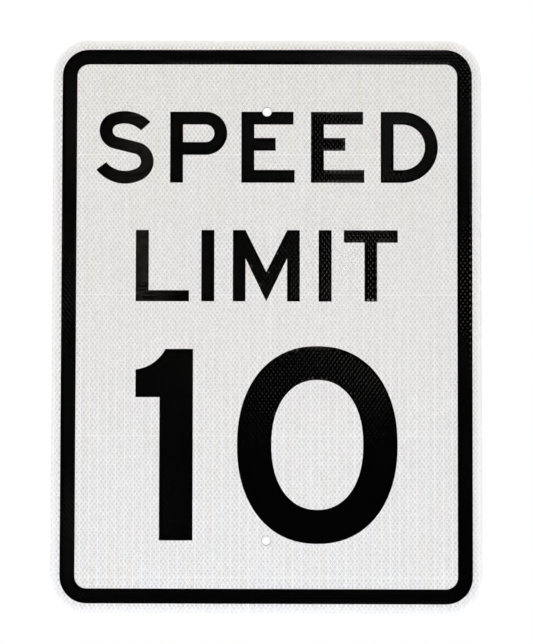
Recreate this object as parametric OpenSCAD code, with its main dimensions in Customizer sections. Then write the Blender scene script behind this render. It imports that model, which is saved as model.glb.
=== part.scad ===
// Speed limit sign panel, 18 x 24 in. A punched aluminium blank carries three layers
// of prismatic reflective sheeting, with a border and a legend cut from black film.
// The origin is the middle of the blank's back face. +Z is up, and the sign faces -Y.

/* [Blank] */
// Width of the sign
sign_w = 457.2; // [440:0.1:620]
// Height of the sign
sign_h = 609.6; // [590:0.1:800]
// Radius of the sign's corners
corner_r = 38.1; // [32:0.1:60]
// Thickness of the aluminium
blank_t = 2.032; // [1:0.001:4]

/* [Mounting holes] */
// Diameter of each hole
hole_d = 9.525; // [6:0.001:14]
// Distance from the top and bottom edges to the holes' centres
hole_inset = 76.2; // [60:0.1:80]
// How far the films are trimmed back round a hole
film_setback = 0.5; // [0.1:0.05:1]

/* [Sheeting and film] */
// Thickness of the adhesive
adhesive_t = 0.06; // [0.03:0.01:0.2]
// Thickness of the white sealing film
sealing_t = 0.1; // [0.05:0.01:0.3]
// Thickness of the clear prismatic film
prism_t = 0.24; // [0.1:0.01:0.6]
// Thickness of the black film
black_t = 0.08; // [0.05:0.01:0.2]

/* [Border] */
// Plain margin outside the border
margin = 9.525; // [5:0.005:14]
// Width of the border's line
border_w = 15.875; // [8:0.005:16]

/* [Words] */
// Height of the capital letters
letter_h = 76.2; // [74:0.1:90]
// Height of the first word's baseline above the sign's centre
first_line_z = 152.4; // [140:0.1:160]
// Height of the second word's baseline above the sign's centre
second_line_z = 25.4; // [10:0.1:40]
// Width of the upright strokes
stem_w = 13.8; // [10:0.1:16]
// Thickness of the level strokes
arm_t = 13.75; // [10:0.05:16]

/* [Number] */
// Height of the figures
digit_h = 203.2; // [195:0.1:215]
// Height of the figures' baseline above the sign's centre
number_z = -228.6; // [-240:0.1:-225]
// Width of the figures' strokes
digit_stroke = 35.55; // [25:0.05:40]
// Clear gap between the two figures
digit_gap = 47.1; // [20:0.1:60]

/* [Hidden] */
$fn = 96;

// How far the back of each layer stands in front of the blank's back face
sealing_at = blank_t + adhesive_t;
prism_at = sealing_at + sealing_t;
black_at = prism_at + prism_t;

hole_z = sign_h / 2 - hole_inset;
film_hole_d = hole_d + 2 * film_setback;

// Widths of the letters, and the clear gaps between them from left to right
s_w = 61.4;
p_w = 61;
e_w = 57;
e_top_w = 55.7;
e_middle_w = 36.7;
d_w = 61;
l_w = 56.9;
m_w = 71.4;
t_w = 57.4;
first_word = [s_w, p_w, e_w, e_w, d_w];
first_gaps = [17.6, 15.2, 17.4, 17.5];
second_word = [l_w, stem_w, m_w, stem_w, t_w];
second_gaps = [13.1, 19.8, 20.1, 13.1];

// The lighter strokes of three letters
l_foot_t = 11.8;
m_stem_w = 13.5;
m_notch_z = 31.5;
m_armpit_z = 46.1;
t_stem_w = 13.5;
t_bar_t = 13.3;

// Outer radius of the P's bowl
p_bowl_r = 23.2;

// Height of the E's middle arm
e_middle_z = 34.3;

// The 1: a stem with a flag whose top is hollowed by a circle
one_w = 61.2;
one_flag_z = 151.8;
one_hollow_r = 41.9;
one_hollow_at = [-5.2, 222.8];

// The 0: an oval taller than the 1, with a level stroke a little wider than its sides
zero_w = 170.5;
zero_h = 209.7;
zero_side_w = 36.45;
zero_end_t = 36.05;
zero_squareness = 2.2;

number_w = one_w + digit_gap + zero_w;

function total(list, count) = count == 0 ? 0 : list[count - 1] + total(list, count - 1);

// Left edge of letter i in a word that is centred on the sign
function letter_x(widths, gaps, i) =
    total(widths, i) + total(gaps, i) - (total(widths, len(widths)) + total(gaps, len(gaps))) / 2;

// Points along an arc, about one every 4 degrees
function arc(centre, r, from, to) =
    let (steps = ceil(abs(to - from) / 4))
    [for (i = [0:steps]) let (a = from + (to - from) * i / steps) centre + r * [cos(a), sin(a)]];

// Signed power, so that a power of a sine keeps its side
function side_pow(value, power) = sign(value) * pow(abs(value), power);

// Points round an oval: |x/a|^n + |z/b|^n = 1
function oval(a, b, n) =
    [for (angle = [0:3:357]) [a * side_pow(cos(angle), 2 / n), b * side_pow(sin(angle), 2 / n)]];

// Stands a flat outline upright, with its back face this far in front of the origin
module layer(at, thickness) {
    translate([0, -at, 0])
        rotate([90, 0, 0])
            linear_extrude(height = thickness)
                children();
}

module rounded_rect(w, h, r) {
    square([w - 2 * r, h], center = true);
    square([w, h - 2 * r], center = true);
    for (x = [-1, 1], z = [-1, 1])
        translate([x * (w / 2 - r), z * (h / 2 - r)])
            circle(r);
}

module holes(d) {
    for (side = [-1, 1])
        translate([0, side * hole_z])
            circle(d = d);
}

module panel(at, thickness, d) {
    layer(at, thickness)
        difference() {
            rounded_rect(sign_w, sign_h, corner_r);
            holes(d);
        }
}

// One letter of black film, drawn from its own left edge and baseline
module black_letter(x, z) {
    color("#0b0b0b")
        layer(black_at, black_t)
            translate([x, z])
                children();
}

module aluminium_blank() {
    color("#b9bcbe")
        panel(0, blank_t, hole_d);
}

module adhesive_layer() {
    color("#d9d6c6")
        panel(blank_t, adhesive_t, film_hole_d);
}

module sealing_film() {
    color("#f3f3f1")
        panel(sealing_at, sealing_t, film_hole_d);
}

module prism_film() {
    color("#e3e2df")
        panel(prism_at, prism_t, film_hole_d);
}

module border_film() {
    outer_r = corner_r - margin;
    inset = margin + border_w;
    color("#0b0b0b")
        layer(black_at, black_t)
            difference() {
                rounded_rect(sign_w - 2 * margin, sign_h - 2 * margin, outer_r);
                rounded_rect(sign_w - 2 * inset, sign_h - 2 * inset, max(outer_r - border_w, 4));
            }
}

// Two bowls of unequal size joined by a sloping stroke. The outline runs over the top,
// down the left, under the slope and round the foot, then back along the inside.
module s_shape() {
    polygon(concat(
        arc([29.9, 37.8], 39.05, 44.4, 110),
        arc([23.3, 55.9], 20, 110, 255.5),
        arc([39.4, 22.8], 8.3, 75.5, -65.5),
        arc([30.9, 39.5], 27, -65.5, -139.1),
        arc([31, 37.95], 39.2, -142.1, -58.9),
        arc([40.2, 22.7], 21.2, -58.9, 77.2),
        arc([24.2, 55.6], 6.8, 255.8, 108.3),
        arc([29.9, 38.35], 25, 108.3, 44.6)
    ));
}

// A block from x to the centre, with a half-round right end
module bowl(x, centre, r) {
    translate([x, centre.y - r])
        square([centre.x - x, 2 * r]);
    translate(centre)
        intersection() {
            circle(r);
            translate([0, -r])
                square([r, 2 * r]);
        }
}

module p_shape() {
    centre = [p_w - p_bowl_r, letter_h - p_bowl_r];
    difference() {
        union() {
            square([stem_w, letter_h]);
            bowl(0, centre, p_bowl_r);
        }
        bowl(stem_w, centre, p_bowl_r - arm_t);
    }
}

module e_shape() {
    square([stem_w, letter_h]);
    square([e_w, arm_t]);
    translate([0, e_middle_z])
        square([e_middle_w, arm_t]);
    translate([0, letter_h - arm_t])
        square([e_top_w, arm_t]);
}

module d_shape() {
    outer_r = letter_h / 2;
    centre = [d_w - outer_r, outer_r];
    difference() {
        bowl(0, centre, outer_r);
        bowl(stem_w, centre, outer_r - arm_t);
    }
}

module l_shape() {
    square([stem_w, letter_h]);
    square([l_w, l_foot_t]);
}

module i_shape() {
    square([stem_w, letter_h]);
}

module m_shape() {
    right = m_w - m_stem_w;
    polygon([
        [0, 0], [m_stem_w, 0], [m_stem_w, m_armpit_z], [m_w / 2, 0], [right, m_armpit_z], [right, 0],
        [m_w, 0], [m_w, letter_h], [right, letter_h], [m_w / 2, m_notch_z], [m_stem_w, letter_h],
        [0, letter_h]
    ]);
}

module t_shape() {
    translate([(t_w - t_stem_w) / 2, 0])
        square([t_stem_w, letter_h]);
    translate([0, letter_h - t_bar_t])
        square([t_w, t_bar_t]);
}

module one_shape() {
    difference() {
        union() {
            translate([one_w - digit_stroke, 0])
                square([digit_stroke, digit_h]);
            translate([0, one_flag_z])
                square([one_w, digit_h - one_flag_z]);
        }
        translate(one_hollow_at)
            circle(one_hollow_r);
    }
}

module zero_shape() {
    translate([zero_w / 2, digit_h / 2])
        difference() {
            polygon(oval(zero_w / 2, zero_h / 2, zero_squareness));
            polygon(oval(zero_w / 2 - zero_side_w, zero_h / 2 - zero_end_t, zero_squareness));
        }
}

module letter_s() {
    black_letter(letter_x(first_word, first_gaps, 0), first_line_z) s_shape();
}

module letter_p() {
    black_letter(letter_x(first_word, first_gaps, 1), first_line_z) p_shape();
}

// The upper mounting hole cuts into the top arm of this letter
module letter_e_first() {
    x = letter_x(first_word, first_gaps, 2);
    black_letter(0, 0)
        difference() {
            translate([x, first_line_z])
                e_shape();
            holes(film_hole_d);
        }
}

module letter_e_second() {
    black_letter(letter_x(first_word, first_gaps, 3), first_line_z) e_shape();
}

module letter_d() {
    black_letter(letter_x(first_word, first_gaps, 4), first_line_z) d_shape();
}

module letter_l() {
    black_letter(letter_x(second_word, second_gaps, 0), second_line_z) l_shape();
}

module letter_i_first() {
    black_letter(letter_x(second_word, second_gaps, 1), second_line_z) i_shape();
}

module letter_m() {
    black_letter(letter_x(second_word, second_gaps, 2), second_line_z) m_shape();
}

module letter_i_second() {
    black_letter(letter_x(second_word, second_gaps, 3), second_line_z) i_shape();
}

module letter_t() {
    black_letter(letter_x(second_word, second_gaps, 4), second_line_z) t_shape();
}

module digit_one() {
    black_letter(-number_w / 2, number_z) one_shape();
}

module digit_zero() {
    black_letter(number_w / 2 - zero_w, number_z) zero_shape();
}

aluminium_blank();
adhesive_layer();
sealing_film();
prism_film();
border_film();
letter_s();
letter_p();
letter_e_first();
letter_e_second();
letter_d();
letter_l();
letter_i_first();
letter_m();
letter_i_second();
letter_t();
digit_one();
digit_zero();
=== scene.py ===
import math
import bmesh
import bpy
import numpy as np
from mathutils import Matrix, Vector


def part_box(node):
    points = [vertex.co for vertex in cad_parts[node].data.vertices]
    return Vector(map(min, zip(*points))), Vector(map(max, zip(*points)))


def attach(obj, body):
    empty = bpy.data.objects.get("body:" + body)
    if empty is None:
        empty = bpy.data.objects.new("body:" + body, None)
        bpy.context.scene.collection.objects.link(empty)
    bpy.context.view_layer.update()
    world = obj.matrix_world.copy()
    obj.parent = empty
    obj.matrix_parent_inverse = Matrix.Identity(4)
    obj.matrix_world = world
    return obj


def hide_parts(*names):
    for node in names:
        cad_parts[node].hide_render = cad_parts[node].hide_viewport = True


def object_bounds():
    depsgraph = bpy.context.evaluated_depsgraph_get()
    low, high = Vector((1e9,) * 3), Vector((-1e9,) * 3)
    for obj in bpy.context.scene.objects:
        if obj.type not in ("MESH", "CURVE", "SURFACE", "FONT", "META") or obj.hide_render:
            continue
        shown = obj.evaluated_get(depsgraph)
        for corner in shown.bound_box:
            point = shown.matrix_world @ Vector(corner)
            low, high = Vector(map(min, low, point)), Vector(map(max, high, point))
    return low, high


# An 18 x 24 in speed limit panel: a punched aluminium blank, prismatic sheeting and cut black film.
# Everything is in metres, +Z up. The legend faces -Y, and the blank's back lies in the plane y = 0.

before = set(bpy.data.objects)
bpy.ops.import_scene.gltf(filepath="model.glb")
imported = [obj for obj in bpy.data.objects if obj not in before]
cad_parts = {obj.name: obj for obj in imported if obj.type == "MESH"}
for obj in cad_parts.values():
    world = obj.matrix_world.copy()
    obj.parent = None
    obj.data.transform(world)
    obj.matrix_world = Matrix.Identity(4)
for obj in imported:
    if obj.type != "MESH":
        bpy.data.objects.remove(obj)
cadBox = [list(corner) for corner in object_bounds()]
mm = 0.001
cutterReach = 1 * mm  # how far a cutter stands past the faces that it cuts through
mergeDistance = 0.001 * mm  # points of a CAD mesh closer than this are one point
scene = bpy.context.scene
scene.view_settings.view_transform = "Standard"
print("frame loaded:", len(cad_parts), "nodes")


def srgb(hexColour):
    # Each channel of the hex colour is turned from sRGB to linear light
    parts = [int(hexColour[i:i + 2], 16) / 255 for i in (1, 3, 5)]
    return [c / 12.92 if c <= 0.04045 else ((c + 0.055) / 1.055) ** 2.4 for c in parts] + [1.0]


def addNode(tree, kind, sockets=(), **settings):
    # One node with its settings and links. The sockets are a list in their order or a dictionary by name or
    # number. Each takes a plain value, an output, or a node, which stands for its first output in use.
    node = tree.nodes.new("ShaderNode" + kind)
    for key, value in settings.items():
        setattr(node, key, value)
    for key, value in sockets.items() if isinstance(sockets, dict) else enumerate(sockets):
        if isinstance(value, bpy.types.Node):
            value = next(output for output in value.outputs if output.enabled)
        if isinstance(value, bpy.types.NodeSocket):
            tree.links.new(value, node.inputs[key])
        else:
            node.inputs[key].default_value = value
    return node


def newMaterial(name):
    material = bpy.data.materials.new(name)
    material.use_nodes = True
    material.node_tree.nodes.clear()
    return material, material.node_tree


def finishMaterial(tree, **sockets):
    # The shader, with an underscore for each space in a socket's name, and the output that it goes to
    named = {key.replace("_", " "): value for key, value in sockets.items()}
    addNode(tree, "OutputMaterial", {"Surface": addNode(tree, "BsdfPrincipled", named)})


def newPiece(name, vertices, faces):
    mesh = bpy.data.meshes.new(name)
    mesh.from_pydata(vertices.tolist(), [], faces)
    mesh.update()
    piece = bpy.data.objects.new(name, mesh)
    scene.collection.objects.link(piece)
    return piece


def ringsPiece(name, rings):
    # Rings of equally many points, joined by walls, with one flat face over the first and over the last
    count = rings.shape[1]
    grid = np.arange(len(rings) * count).reshape(len(rings), count)
    ahead = np.roll(grid, -1, axis=1)
    walls = np.stack([grid[:-1], grid[1:], ahead[1:], ahead[:-1]], axis=2).reshape(-1, 4)
    ends = [grid[0].tolist(), grid[-1][::-1].tolist()]
    return newPiece(name, rings.reshape(-1, 3), walls.tolist() + ends)


def cutWith(piece, cutter, how):
    # Closed mesh against closed mesh; the cutter is used up
    cut = piece.modifiers.new("cut", "BOOLEAN")
    cut.object = cutter
    cut.operation = how
    cut.solver = "MANIFOLD"
    graph = bpy.context.evaluated_depsgraph_get()
    mesh = bpy.data.meshes.new_from_object(piece.evaluated_get(graph))
    piece.modifiers.clear()
    piece.data = mesh
    bpy.data.objects.remove(cutter)


def smoothFaces(piece, sharpAngle):
    # Smooth shading, with edges above this angle in degrees kept sharp
    piece.data.polygons.foreach_set("use_smooth", np.ones(len(piece.data.polygons), dtype=bool))
    piece.data.set_sharp_from_angle(angle=math.radians(sharpAngle))


def dressPiece(piece, material, nodeName):
    # The piece gets its material, rides on the panel's one body and stands for its CAD node
    piece.data.materials.clear()
    piece.data.materials.append(material)
    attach(piece, "root")
    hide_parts(nodeName)
    print(piece.name + ":", len(piece.data.polygons), "faces")


# The sheeting's diamond cells, which every film and pattern shares
cells = {
    "pitchX": 4.730,  # mm between cells in one row
    "pitchZ": 6.684,  # mm between a row and the next row but one
    "centreX": -0.38,  # mm, middle of one cell
    "centreZ": 0.33,
}


def cellSlab(name, low, high, depth, padSize):
    # A closed slab whose front is a net of diamond cells. Cell (m, n), with m + n even, has its middle at
    # m and n half pitches. Its pad is a smaller diamond at the front, and its rim falls back by depth to
    # the seal lines, which run through the points where m + n is odd. The back is one flat face.
    halfPitch = np.array([cells["pitchX"], cells["pitchZ"]]) / 2 * mm
    origin = np.array([cells["centreX"], cells["centreZ"]]) * mm
    spare = 2  # half pitches that the net stands past the film on each side
    first = np.floor((np.array([low[0], low[2]]) - origin) / halfPitch).astype(int) - spare
    last = np.ceil((np.array([high[0], high[2]]) - origin) / halfPitch).astype(int) + spare
    m, n = np.meshgrid(np.arange(first[0], last[0] + 1), np.arange(first[1], last[1] + 1), indexing="ij")
    isCell = (m + n) % 2 == 0
    middle = np.stack([m[isCell], n[isCell]], axis=1)
    steps = np.array([[1, 0], [0, 1], [-1, 0], [0, -1]])
    corners = middle[:, None, :] + steps
    sealPoints, sealIndex = np.unique(corners.reshape(-1, 2), axis=0, return_inverse=True)
    sealIndex = sealIndex.reshape(-1, 4)
    padPoints = (middle[:, None, :] + steps * padSize).reshape(-1, 2)
    padFaces = np.arange(len(padPoints)).reshape(-1, 4) + len(sealPoints)

    # Each rim face joins one side of a cell's seal to the same side of its pad
    nextSeal = np.roll(sealIndex, -1, axis=1)
    nextPad = np.roll(padFaces, -1, axis=1)
    rimFaces = np.stack([sealIndex, nextSeal, nextPad, padFaces], axis=2).reshape(-1, 4)

    # Seal lines that only one cell uses are the slab's outer edge, where its walls go straight back
    start, end = rimFaces[:, 0], rimFaces[:, 1]
    sealCount = len(sealPoints)
    frontCount = sealCount + len(padPoints)
    outer = ~np.isin(start * sealCount + end, end * sealCount + start)
    start, end = start[outer], end[outer]
    backOf = np.full(sealCount, -1)
    backOf[start] = np.arange(len(start)) + frontCount
    wallFaces = np.stack([end, start, backOf[start], backOf[end]], axis=1)

    flat = np.concatenate([sealPoints, padPoints, sealPoints[start]]) * halfPitch + origin
    y = np.full(len(flat), low[1])
    y[:sealCount] += depth
    y[frontCount:] = high[1]
    vertices = np.stack([flat[:, 0], y, flat[:, 1]], axis=1)
    piece = newPiece(name, vertices, np.concatenate([padFaces, rimFaces, wallFaces]).tolist())
    shape = bmesh.new()
    shape.from_mesh(piece.data)
    bmesh.ops.edgeloop_fill(shape, edges=[edge for edge in shape.edges if edge.is_boundary])
    bmesh.ops.recalc_face_normals(shape, faces=shape.faces)
    shape.to_mesh(piece.data)
    shape.free()
    return piece


def outlineCutter(nodeName):
    # A copy of the CAD node, its doubles merged, with its front and back drawn out along y past the film's
    shape = bmesh.new()
    shape.from_mesh(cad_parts[nodeName].data)
    bmesh.ops.remove_doubles(shape, verts=shape.verts, dist=mergeDistance)
    mesh = bpy.data.meshes.new("cutter")
    shape.to_mesh(mesh)
    shape.free()
    points = np.empty(len(mesh.vertices) * 3)
    mesh.vertices.foreach_get("co", points)
    points = points.reshape(-1, 3)
    middle = (points[:, 1].min() + points[:, 1].max()) / 2
    points[:, 1] += np.where(points[:, 1] > middle, cutterReach, -cutterReach)
    mesh.vertices.foreach_set("co", points.ravel())
    mesh.update()
    cutter = bpy.data.objects.new("cutter", mesh)
    scene.collection.objects.link(cutter)
    return cutter


def filmPiece(name, nodeName, depth, padSize, creaseAngle):
    # A film cut to its CAD outline, with the cells' relief on its front
    low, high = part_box(nodeName)
    piece = cellSlab(name, low, high, depth * mm, padSize)
    cutWith(piece, outlineCutter(nodeName), "INTERSECT")
    smoothFaces(piece, creaseAngle)
    return piece


blank = {
    "cornerRadius": 38.1,  # mm
    "holeRadius": 4.7625,
    "holeHeight": 228.6,  # mm from the middle to each hole
    "faceRound": 0.30,  # mm, edge rolled over by the shear on the front
    "backRound": 0.12,  # mm, deburred edge at the back
    "flatBand": 0.5,  # mm, narrow flat ring beside each rounded edge, which keeps the shading flat
    "punchRound": 0.06,  # mm, edge of a punched hole
    "punchTurn": 86,  # degrees of that edge's quarter circle, which ends just short of the face
    "creaseAngle": 35,  # degrees above which an edge stays sharp
    "pointsPerCorner": 28,
    "pointsPerHole": 72,
    "roundSteps": 5,
}


def roundedLoop(halfW, halfH, radius, perCorner):
    # Points round a rectangle whose corners are quarter circles, anticlockwise to the legend's reader
    angle = np.linspace(0, math.pi / 2, perCorner)[None, :] + np.arange(4)[:, None] * math.pi / 2
    x = (halfW - radius) * np.array([1, -1, -1, 1])[:, None] + radius * np.cos(angle)
    z = (halfH - radius) * np.array([1, 1, -1, -1])[:, None] + radius * np.sin(angle)
    return x.ravel(), z.ravel()


def platePiece(name, low, high):
    # A profile carried round the outline: for each ring the outline is drawn in by the ring's inset and set
    # at its depth. The inset is 0 at the wall and grows by a quarter circle at the front and back edges.
    face, back, band = (blank[key] * mm for key in ("faceRound", "backRound", "flatBand"))
    turn = np.linspace(0, math.pi / 2, blank["roundSteps"])
    inset = np.concatenate([
        [face + band], face * (1 - np.sin(turn)), back * (1 - np.cos(turn)), [back + band]])
    depth = np.concatenate([
        [low[1]], low[1] + face * (1 - np.cos(turn)), high[1] - back * (1 - np.sin(turn)), [high[1]]])
    halfW, halfH = (high[0] - low[0]) / 2, (high[2] - low[2]) / 2
    rings = []
    for drawnIn, y in zip(inset, depth):
        radius = blank["cornerRadius"] * mm - drawnIn
        x, z = roundedLoop(halfW - drawnIn, halfH - drawnIn, radius, blank["pointsPerCorner"])
        rings.append(np.stack([x, np.full(len(x), y), z], axis=1))
    return ringsPiece(name, np.array(rings))


def punchCutter(frontY, backY, holeZ):
    # A profile turned about the hole's axis: the hole's radius, growing by a quarter circle at each face
    edge = blank["punchRound"] * mm
    turn = np.linspace(math.radians(blank["punchTurn"]), 0, blank["roundSteps"])
    r = blank["holeRadius"] * mm + edge * (1 - np.cos(turn))
    drop = edge * (1 - np.sin(turn))
    r = np.concatenate([r[:1], r, r[::-1], r[:1]])
    y = np.concatenate([[frontY - cutterReach], frontY + drop, backY - drop[::-1], [backY + cutterReach]])
    angle = np.linspace(0, 2 * math.pi, blank["pointsPerHole"], endpoint=False)
    x = r[:, None] * np.cos(angle)
    z = holeZ + r[:, None] * np.sin(angle)
    return ringsPiece("punch", np.stack([x, np.repeat(y[:, None], len(angle), axis=1), z], axis=2))


# Settings shared by the materials
blended = {"data_type": "RGBA"}  # a Mix node whose inputs 6 and 7 are colours
multiplied = {"data_type": "RGBA", "blend_type": "MULTIPLY"}
eased = {"interpolation_type": "SMOOTHSTEP"}
acrylicIor = 1.49
noiseSpan = (0.3, 0.7)  # most of a noise's values lie between these


def noiseField(tree, where, size, detail=2.0):
    # Noise whose blobs are about these three sizes in mm
    scale = [1 / (side * mm) for side in size]
    scaled = addNode(tree, "Mapping", {"Vector": where, "Scale": scale})
    return addNode(tree, "TexNoise", {"Vector": scaled, "Scale": 1.0, "Detail": detail})


def cellSteps(tree, where):
    # In steps of one cell, p = x / pitchX + z / pitchZ and q = x / pitchX - z / pitchZ are whole numbers at
    # a cell's middle and halves on its seal lines
    centred = addNode(tree, "Mapping", {
        "Vector": where,
        "Location": (-cells["centreX"] / cells["pitchX"], 0, -cells["centreZ"] / cells["pitchZ"]),
        "Scale": (1 / (cells["pitchX"] * mm), 1, 1 / (cells["pitchZ"] * mm)),
    })
    parts = addNode(tree, "SeparateXYZ", [centred])
    across, up = parts.outputs["X"], parts.outputs["Z"]
    return [addNode(tree, "Math", [across, up], operation=how) for how in ("ADD", "SUBTRACT")]


def cellRim(tree, steps):
    # How far out in its cell a point lies: 0 at the middle, 0.5 on the seal line. It is the distance of p
    # or q from a whole number, whichever is larger.
    out = [addNode(tree, "Math", [step, 0.5], operation="PINGPONG") for step in steps]
    return addNode(tree, "Math", out, operation="MAXIMUM")


def prismaticAcrylic():
    # Clear acrylic with moulded microprisms over a white sealing film. The prisms look pale grey, and the
    # seal lines, where the films are welded together, look white.
    look = {
        # Cell and seal colours, and the near white used both for the mould seams and for the painted glow at
        # the cut edge
        "cellColour": "#dad9d8", "sealColour": "#efefee", "seamAndPaintedGlowColour": "#fbfbfb",
        "sealStart": 0.26, "sealEnd": 0.45,  # of a cell, from its middle at 0 to its seal at 0.5
        "roughness": 0.24,
        "cellShade": (0.974, 1.016),  # what a cell's colour is multiplied by, at least and at most
        # Noise sizes in mm across, through and up the panel, and what the colour is multiplied by: broad
        # clouding, grey streaks along the roll, and the microprisms' grain, coarser than the real one
        "shades": [
            {"size": (45, 45, 60), "detail": 2.0, "range": (0.993, 1.005)},
            {"size": (3.0, 50, 240), "detail": 2.0, "range": (0.976, 1.018)},
            {"size": (0.7, 0.7, 0.7), "detail": 0.0, "range": (0.87, 1.11)},
        ],
        "tints": [  # faint warm and pinkish streaks, and the noise values between which they appear
            {"size": (7.0, 40, 110), "start": 0.50, "end": 0.68, "colour": "#fefdfa"},
            {"size": (6.0, 70, 90), "start": 0.52, "end": 0.70, "colour": "#fffdfe"},
        ],
        "seams": [  # start, step and width in mm
            {"axis": "X", "start": 4.0, "step": 300.0, "width": 1.0, "strength": 0.3, "fades": False},
            {"axis": "Z", "start": 32.5, "step": 150.0, "width": 1.0, "strength": 0.45, "fades": False},
            {"axis": "X", "start": -0.15, "step": 9.42, "width": 0.9, "strength": 0.5, "fades": True},
        ],
        "fadeLow": -100, "fadeHigh": 60,  # mm of height between which the fading seams fade
        "fadedTo": 0.3,
        "paintedGlowReach": 9.0,  # mm that the painted edge glow reaches in
        "edgePower": 1.2, "paintedGlowStrength": 0.72,
        "rippleSize": (1.6, 1.6, 1.6), "rippleHeight": 0.004,  # mm
        "rippleStrength": 0.6,
    }
    material, tree = newMaterial("PrismaticAcrylicSheeting")
    where = addNode(tree, "TexCoord").outputs["Object"]
    steps = cellSteps(tree, where)
    seal = addNode(
        tree, "MapRange", [cellRim(tree, steps), look["sealStart"], look["sealEnd"], 0, 1], **eased)
    base = addNode(
        tree, "Mix", {0: seal, 6: srgb(look["cellColour"]), 7: srgb(look["sealColour"])}, **blended)

    # Each cell reflects a little more or less than its neighbours
    whole = [addNode(tree, "Math", [step], operation="ROUND") for step in steps]
    cellNumber = addNode(tree, "CombineXYZ", whole)
    chance = addNode(tree, "TexWhiteNoise", [cellNumber], noise_dimensions="2D")
    shade = addNode(tree, "MapRange", [chance, 0, 1, *look["cellShade"]])
    base = addNode(tree, "Mix", {0: 1.0, 6: base, 7: shade}, **multiplied)

    for setup in look["shades"]:
        noise = noiseField(tree, where, setup["size"], setup["detail"])
        shade = addNode(tree, "MapRange", [noise, *noiseSpan, *setup["range"]])
        base = addNode(tree, "Mix", {0: 1.0, 6: base, 7: shade}, **multiplied)
    for setup in look["tints"]:
        noise = noiseField(tree, where, setup["size"])
        amount = addNode(tree, "MapRange", [noise, setup["start"], setup["end"], 0, 1])
        base = addNode(tree, "Mix", {0: amount, 6: base, 7: srgb(setup["colour"])}, **multiplied)

    # Bright seams where the mould's tiles met, and fine lines between the strips that the mould was ruled
    # in, which show more towards the foot
    parts = addNode(tree, "SeparateXYZ", [where])
    fadeLow, fadeHigh = look["fadeLow"] * mm, look["fadeHigh"] * mm
    foot = addNode(
        tree, "MapRange", [parts.outputs["Z"], fadeLow, fadeHigh, 1.0, look["fadedTo"]], **eased)
    seamAndPaintedGlowColour = srgb(look["seamAndPaintedGlowColour"])
    for setup in look["seams"]:
        start, step, width = (setup[key] * mm for key in ("start", "step", "width"))
        fromStart = addNode(tree, "Math", [parts.outputs[setup["axis"]], start], operation="SUBTRACT")
        fromSeam = addNode(tree, "Math", [fromStart, step / 2], operation="PINGPONG")
        seam = addNode(tree, "MapRange", [fromSeam, 0, width, setup["strength"], 0])
        if setup["fades"]:
            seam = addNode(tree, "Math", [seam, foot], operation="MULTIPLY")
        base = addNode(tree, "Mix", {0: seam, 6: base, 7: seamAndPaintedGlowColour}, **blended)

    # Painted light: near the cut edge the colour is lightened towards white. This stands in for light that
    # travels inside the clear film and leaves at its cut edge. In the corners the distance is taken from the
    # corner's own centre.
    past = []
    for axis, half in zip("XZ", (cadBox[1][0], cadBox[1][2])):
        fromMiddle = addNode(tree, "Math", [parts.outputs[axis]], operation="ABSOLUTE")
        straight = half - blank["cornerRadius"] * mm
        past.append(addNode(tree, "MapRange", [fromMiddle, straight, half, 0, 1]))
    reach = addNode(tree, "VectorMath", [addNode(tree, "CombineXYZ", past)], operation="LENGTH")
    glow = addNode(tree, "MapRange", [reach, 1 - look["paintedGlowReach"] / blank["cornerRadius"], 1, 0, 1])
    glow = addNode(tree, "Math", [glow, look["edgePower"]], operation="POWER")
    glow = addNode(tree, "MapRange", [glow, 0, 1, 0, look["paintedGlowStrength"]])
    # The painted edge glow is mixed into the colour here
    base = addNode(tree, "Mix", {0: glow, 6: base, 7: seamAndPaintedGlowColour}, **blended)

    ripple = noiseField(tree, where, look["rippleSize"])
    ripple = addNode(tree, "MapRange", [ripple, 0, 1, 0, look["rippleHeight"] * mm])
    bump = addNode(tree, "Bump", {"Height": ripple, "Distance": 1.0, "Strength": look["rippleStrength"]})
    finishMaterial(tree, Base_Color=base, Roughness=look["roughness"], IOR=acrylicIor, Normal=bump)
    return material


def blackCutFilm(name, grooveDepth, lineWidth, lineHeight):
    # Cast acrylic film, solid black, laid over the cells with a squeegee: glossy, following every dimple,
    # with faint lines where the squeegee passed, coarser than real ones so that they show
    look = {
        # Sizes across, through and up the panel, and heights, in mm
        "colour": "#010101",
        "roughness": (0.07, 0.10), "cloudSize": (18, 18, 12),
        "waveSize": (60, 60, 45), "waveHeight": 0.2,  # slow waves of the panel under the film
        "lineSize": (16, 10, lineWidth),
        "peelSize": (1.8, 1.8, 1.8), "peelHeight": 0.007,  # orange peel of the gloss
        "grooveStart": 0.35,  # of a cell, from its middle at 0 to its seal at 0.5
    }
    material, tree = newMaterial(name)
    where = addNode(tree, "TexCoord").outputs["Object"]
    rim = cellRim(tree, cellSteps(tree, where))
    cloud = noiseField(tree, where, look["cloudSize"])
    roughness = addNode(tree, "MapRange", [cloud, *noiseSpan, *look["roughness"]])
    wave, line, peel = (noiseField(tree, where, look[key]) for key in ("waveSize", "lineSize", "peelSize"))
    height = addNode(tree, "MapRange", [wave, 0, 1, 0, look["waveHeight"] * mm])
    for fromLow, fromHigh, field, top in (
        (0, 1, line, lineHeight),
        (look["grooveStart"], 0.5, rim, -grooveDepth),
        (0, 1, peel, look["peelHeight"]),
    ):
        added = addNode(tree, "MapRange", [field, fromLow, fromHigh, 0, top * mm])
        height = addNode(tree, "Math", [height, added], operation="ADD")
    bump = addNode(tree, "Bump", {"Height": height, "Distance": 1.0, "Strength": 1.0})
    finishMaterial(tree, Base_Color=srgb(look["colour"]), Roughness=roughness, IOR=acrylicIor, Normal=bump)
    return material


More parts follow.
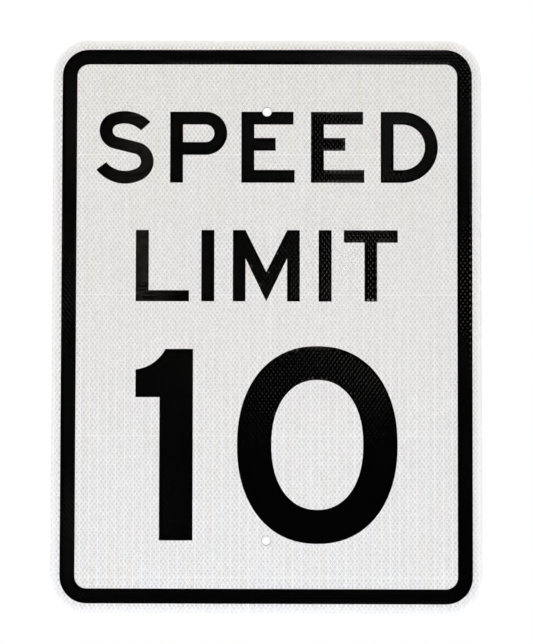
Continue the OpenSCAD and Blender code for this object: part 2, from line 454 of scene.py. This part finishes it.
def millAluminium():
    # 5052 aluminium sheet as it leaves the rolling mill: fine straight lines along the roll, a soft sheen,
    # and scratches from handling
    look = {
        # Sizes across, through and up the sheet, and heights, in mm
        "light": "#d3d5d6", "dark": "#b9bcbf", "scratch": "#e6e7e8",
        "roughness": (0.33, 0.39), "cloudSize": (120, 120, 190),
        "lineSize": (0.8, 0.8, 160), "lineHeight": 0.004,  # rolling lines, coarser than real ones
        "bandSize": (9, 9, 900),
        "toneStart": 0.7, "toneEnd": 1.3,  # sums of the line and band noises that look dark and light
        "scratchWidth": 5, "scratchLength": 110, "scratchDepth": 0.006,
        "scratchTurns": (-24, 11, 38),  # degrees
        "scratchLevel": 0.71, "scratchBand": 0.006,  # noise value along a scratch, give or take the band
        "scratchStrength": 0.55,
        "bumpStrength": 0.6,
    }
    material, tree = newMaterial("MillFinishAluminium")
    where = addNode(tree, "TexCoord").outputs["Object"]
    fine = noiseField(tree, where, look["lineSize"], detail=3.0)
    broad = noiseField(tree, where, look["bandSize"])
    cloud = noiseField(tree, where, look["cloudSize"])
    tone = addNode(tree, "Math", [fine, broad], operation="ADD")
    tone = addNode(tree, "MapRange", [tone, look["toneStart"], look["toneEnd"], 0, 1])
    base = addNode(tree, "Mix", {0: tone, 6: srgb(look["dark"]), 7: srgb(look["light"])}, **blended)
    roughness = addNode(tree, "MapRange", [cloud, *noiseSpan, *look["roughness"]])
    height = addNode(tree, "MapRange", [fine, 0, 1, 0, look["lineHeight"] * mm])

    # Scratches are thin bands of a noise that is drawn out along a line, turned a little each time
    for degrees in look["scratchTurns"]:
        turned = addNode(tree, "Mapping", {
            "Vector": where,
            "Rotation": (0, math.radians(degrees), 0),
            "Scale": (1 / (look["scratchWidth"] * mm), 1, 1 / (look["scratchLength"] * mm)),
        })
        noise = addNode(tree, "TexNoise", {"Vector": turned, "Scale": 1.0, "Detail": 1.0})
        scratch = addNode(
            tree, "Math", [noise, look["scratchLevel"], look["scratchBand"]], operation="COMPARE")
        shine = addNode(tree, "MapRange", [scratch, 0, 1, 0, look["scratchStrength"]])
        base = addNode(tree, "Mix", {0: shine, 6: base, 7: srgb(look["scratch"])}, **blended)
        height = addNode(
            tree, "Math", [scratch, -look["scratchDepth"] * mm, height], operation="MULTIPLY_ADD")
    bump = addNode(tree, "Bump", {"Height": height, "Distance": 1.0, "Strength": look["bumpStrength"]})
    finishMaterial(tree, Base_Color=base, Metallic=1.0, Roughness=roughness, Normal=bump)
    return material


def plainFilm(name, light, dark, roughness, grainSize):
    # A cut polymer layer, seen only at its edges: slightly clouded, with a fine bump from the knife. The
    # grain's size is in mm.
    look = {"bumpHeight": 0.01, "bumpStrength": 0.5}
    material, tree = newMaterial(name)
    where = addNode(tree, "TexCoord").outputs["Object"]
    cloud = noiseField(tree, where, [grainSize] * 3)
    base = addNode(tree, "Mix", {0: cloud, 6: srgb(dark), 7: srgb(light)}, **blended)
    bumpHeight = look["bumpHeight"] * mm
    bump = addNode(tree, "Bump", {"Height": cloud, "Distance": bumpHeight, "Strength": look["bumpStrength"]})
    finishMaterial(tree, Base_Color=base, Roughness=roughness, IOR=acrylicIor, Normal=bump)
    return material


sheetingMaterial = prismaticAcrylic()
aluminiumMaterial = millAluminium()
filmMaterials = {
    "sealing_film": plainFilm(
        "WhitePolyesterSealingFilm", light="#f4f4f2", dark="#e8e8e6", roughness=0.5, grainSize=3.0),
    "adhesive_layer": plainFilm(
        "AcrylicPressureAdhesive", light="#dedbcd", dark="#c9c5b4", roughness=0.35, grainSize=2.0),
}
print("materials made for the sheet, the sheeting and its layers")

blankLow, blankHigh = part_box("aluminium_blank")
blankPiece = platePiece("aluminiumBlank", blankLow, blankHigh)
for side in (1, -1):
    holeZ = side * blank["holeHeight"] * mm
    cutWith(blankPiece, punchCutter(blankLow[1], blankHigh[1], holeZ), "DIFFERENCE")
smoothFaces(blankPiece, blank["creaseAngle"])
dressPiece(blankPiece, aluminiumMaterial, "aluminium_blank")
evenNormals = blankPiece.modifiers.new("evenNormals", "WEIGHTED_NORMAL")
evenNormals.keep_sharp = True

# How far in mm a seal line lies behind the cells' pads, the pad's size against its cell's, and the angle in
# degrees above which an edge stays sharp
sheeting = {"depth": 0.035, "padSize": 0.70, "creaseAngle": 30}
sheetingPiece = filmPiece("prismFilm", "prism_film", **sheeting)
dressPiece(sheetingPiece, sheetingMaterial, "prism_film")

# The same for the black films, with their grooves' depth and their squeegee lines' width and height in mm.
# Stretched film has shallow dimples and strong lines.
blackFilms = {
    "laid": {
        "shape": {"depth": 0.066, "padSize": 0.70, "creaseAngle": 1.5},
        "material": blackCutFilm(
            "GlossBlackAcrylicFilm", grooveDepth=0.06, lineWidth=1.3, lineHeight=0.012),
    },
    "stretched": {
        "shape": {"depth": 0.006, "padSize": 0.70, "creaseAngle": 1.5},
        "material": blackCutFilm(
            "StretchedBlackAcrylicFilm", grooveDepth=0.006, lineWidth=3.0, lineHeight=0.12),
    },
}
legend = {
    "border_film": "laid", "letter_s": "stretched", "letter_p": "laid", "letter_e_first": "laid",
    "letter_e_second": "laid", "letter_d": "laid", "letter_l": "stretched", "letter_i_first": "laid",
    "letter_m": "laid", "letter_i_second": "laid", "letter_t": "laid", "digit_one": "laid",
    "digit_zero": "laid",
}
for nodeName, kind in legend.items():
    words = nodeName.split("_")
    pieceName = words[0] + "".join(word.capitalize() for word in words[1:])
    film = filmPiece(pieceName, nodeName, **blackFilms[kind]["shape"])
    dressPiece(film, blackFilms[kind]["material"], nodeName)

for nodeName, material in filmMaterials.items():
    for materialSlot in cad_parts[nodeName].material_slots:
        materialSlot.material = material
print("pieces made")

studio = {
    "floorGap": 0.62,  # metres; the panel hangs from its post's bolts, this far above the floor
    "floorReach": 1.5,
    "floorColour": "#ecebe8", "floorRoughness": 0.9,
    "darkEnd": 0.012, "brightEnd": 0.62,  # the world's strength in front of the panel and behind it
    "darkUntil": -0.15, "brightFrom": 0.6,  # how far back a ray points, between -1 and 1
}
floorZ = cadBox[0][2] - studio["floorGap"]
floorCorners = np.array([[-1, -1], [1, -1], [1, 1], [-1, 1]]) * studio["floorReach"]
floor = newPiece("floor", np.column_stack([floorCorners, np.full(4, floorZ)]), [[0, 1, 2, 3]])
floorMaterial, floorTree = newMaterial("PalePaper")
finishMaterial(floorTree, Base_Color=srgb(studio["floorColour"]), Roughness=studio["floorRoughness"])
floor.data.materials.append(floorMaterial)
floor.is_shadow_catcher = True
floor.visible_glossy = False  # the film mirrors the dark end of the studio, not the floor

# White to look at. As light it is bright behind the panel and dark in front, like a studio's dark end.
world = bpy.data.worlds.new("studio")
scene.world = world
world.use_nodes = True
sky = world.node_tree
sky.nodes.clear()
white = (1, 1, 1, 1)
skyWay = addNode(sky, "SeparateXYZ", [addNode(sky, "TexCoord").outputs["Generated"]])
ends = [studio[key] for key in ("darkUntil", "brightFrom", "darkEnd", "brightEnd")]
strength = addNode(sky, "MapRange", [skyWay.outputs["Y"], *ends], **eased)
ambient = addNode(sky, "Background", [white, strength])
backdrop = addNode(sky, "Background", [white, 1.0])
isCamera = addNode(sky, "LightPath").outputs["Is Camera Ray"]
addNode(sky, "OutputWorld", {"Surface": addNode(sky, "MixShader", [isCamera, ambient, backdrop])})

# Place in metres from the panel's middle, size in metres, power in watts. The lights in front are left out
# of reflections, where the sheen panels beside them show instead, so that gloss stays gentle.
lights = {
    "softboxLeft": {
        "place": (-2.1, -1.8, 0.0), "size": (1.2, 1.8), "power": 41.3,
        "colour": "#fdffff", "mirrored": False},
    "softboxRight": {
        "place": (2.1, -1.8, 0.0), "size": (1.2, 1.8), "power": 34.4,
        "colour": "#fdffff", "mirrored": False},
    "topWarm": {
        "place": (0.0, -0.9, 1.5), "size": (1.4, 0.5), "power": 9.0,
        "colour": "#fff0dc", "mirrored": False},
    "lowCool": {
        "place": (0.0, -0.72, -0.85), "size": (0.9, 0.25), "power": 3.0,
        "colour": "#dfe5ff", "mirrored": False},
    "sheenLeft": {"place": (-2.3, -1.7, 0.3), "size": (1.0, 1.2), "power": 2.2, "colour": "#ffffff"},
    "sheenRight": {"place": (2.3, -1.7, 0.3), "size": (1.0, 1.2), "power": 2.2, "colour": "#ffffff"},
    "softboxBackLeft": {"place": (-1.9, 2.0, 0.6), "size": (1.4, 1.4), "power": 9, "colour": "#ffffff"},
    "softboxBackRight": {"place": (1.7, 2.2, 0.4), "size": (1.4, 1.4), "power": 6, "colour": "#ffffff"},
    "overhead": {"place": (0.0, 0.3, 2.4), "size": (1.6, 1.2), "power": 22, "colour": "#ffffff"},
}


def areaLight(name, place, size, power, colour, mirrored=True):
    # A rectangular light that faces the panel's middle
    data = bpy.data.lights.new(name, "AREA")
    data.shape = "RECTANGLE"
    data.size = size[0]
    data.size_y = size[1]
    data.energy = power
    data.color = srgb(colour)[:3]
    lamp = bpy.data.objects.new(name, data)
    lamp.location = place
    lamp.rotation_mode = "QUATERNION"
    lamp.rotation_quaternion = (-Vector(place)).to_track_quat("-Z", "Y")
    lamp.visible_glossy = mirrored
    scene.collection.objects.link(lamp)


for lightName, setup in lights.items():
    areaLight(lightName, **setup)
print("floor, world and lights made")

viewpoint = {
    "distance": 1.8,  # metres in front of the legend
    "across": 0.0135, "below": 0.0635,  # metres from the panel's middle
    "yaw": 0.432, "pitch": 2.130, "roll": 0.132,  # degrees
    "lens": 94.53, "sensorWidth": 36,  # mm
}
camera = bpy.data.objects.new("camera", bpy.data.cameras.new("camera"))
camera.data.sensor_width = viewpoint["sensorWidth"]
camera.data.lens = viewpoint["lens"]
camera.data.dof.use_dof = False
legendY = cadBox[0][1]
cameraPlace = Vector((viewpoint["across"], legendY - viewpoint["distance"], -viewpoint["below"]))
turns = (
    Matrix.Rotation(math.radians(viewpoint["yaw"]), 4, "Z")
    @ Matrix.Rotation(math.radians(90 + viewpoint["pitch"]), 4, "X")
    @ Matrix.Rotation(math.radians(viewpoint["roll"]), 4, "Z")
)
camera.matrix_world = Matrix.Translation(cameraPlace) @ turns
scene.collection.objects.link(camera)
scene.camera = camera

# Dim things in the dark end of the studio that the black film mirrors. Each is put where its reflection
# shows at this spot on the legend, in mm: on the line from the camera's mirror image through that spot.
glows = {
    "glowLetterS": {"spot": (-134, 182), "spread": (14, 26), "brightness": 3.6, "colour": "#fff0e0"},
    "glowLetterL": {"spot": (-134, 66), "spread": (12, 34), "brightness": 4.8, "colour": "#fff0e0"},
    "glowLeftEdge": {"spot": (-212, 84), "spread": (16, 44), "brightness": 1.0, "colour": "#ffffff"},
    "glowSecondE": {"spot": (77, 190), "spread": (40, 92), "brightness": 1.9, "colour": "#fffaf4"},
    "glowCorner": {"spot": (140, 294), "spread": (130, 32), "brightness": 1.6, "colour": "#f8f7ff"},
    "glowTopLeft": {"spot": (-75, 290), "spread": (64, 24), "brightness": 1.2, "colour": "#f8f7ff"},
    "glowFoot": {"spot": (0, -296), "spread": (420, 30), "brightness": 0.2, "colour": "#ffffff"},
    "glowEdge": {"spot": (216, 225), "spread": (16, 100), "brightness": 0.6, "colour": "#fff8f0"},
    "glowCross": {"spot": (113, 44), "spread": (40, 84), "brightness": 3.9, "colour": "#fff8f0"},
    "glowRound": {"spot": (44, -44), "spread": (38, 40), "brightness": 2.7, "colour": "#fffaf6"},
}
glowDistance = 2.6  # metres in front of the legend
cameraImage = Vector((cameraPlace.x, 2 * legendY - cameraPlace.y, cameraPlace.z))
stretch = (viewpoint["distance"] + glowDistance) / viewpoint["distance"]
for glowName, glow in glows.items():
    spot = Vector((glow["spot"][0] * mm, legendY, glow["spot"][1] * mm))
    size = [side * mm * stretch for side in glow["spread"]]
    power = glow["brightness"] * math.pi * size[0] * size[1]
    areaLight(glowName, cameraImage + (spot - cameraImage) * stretch, size, power, glow["colour"])
print("camera placed, and what the film mirrors")

print("scene ready")
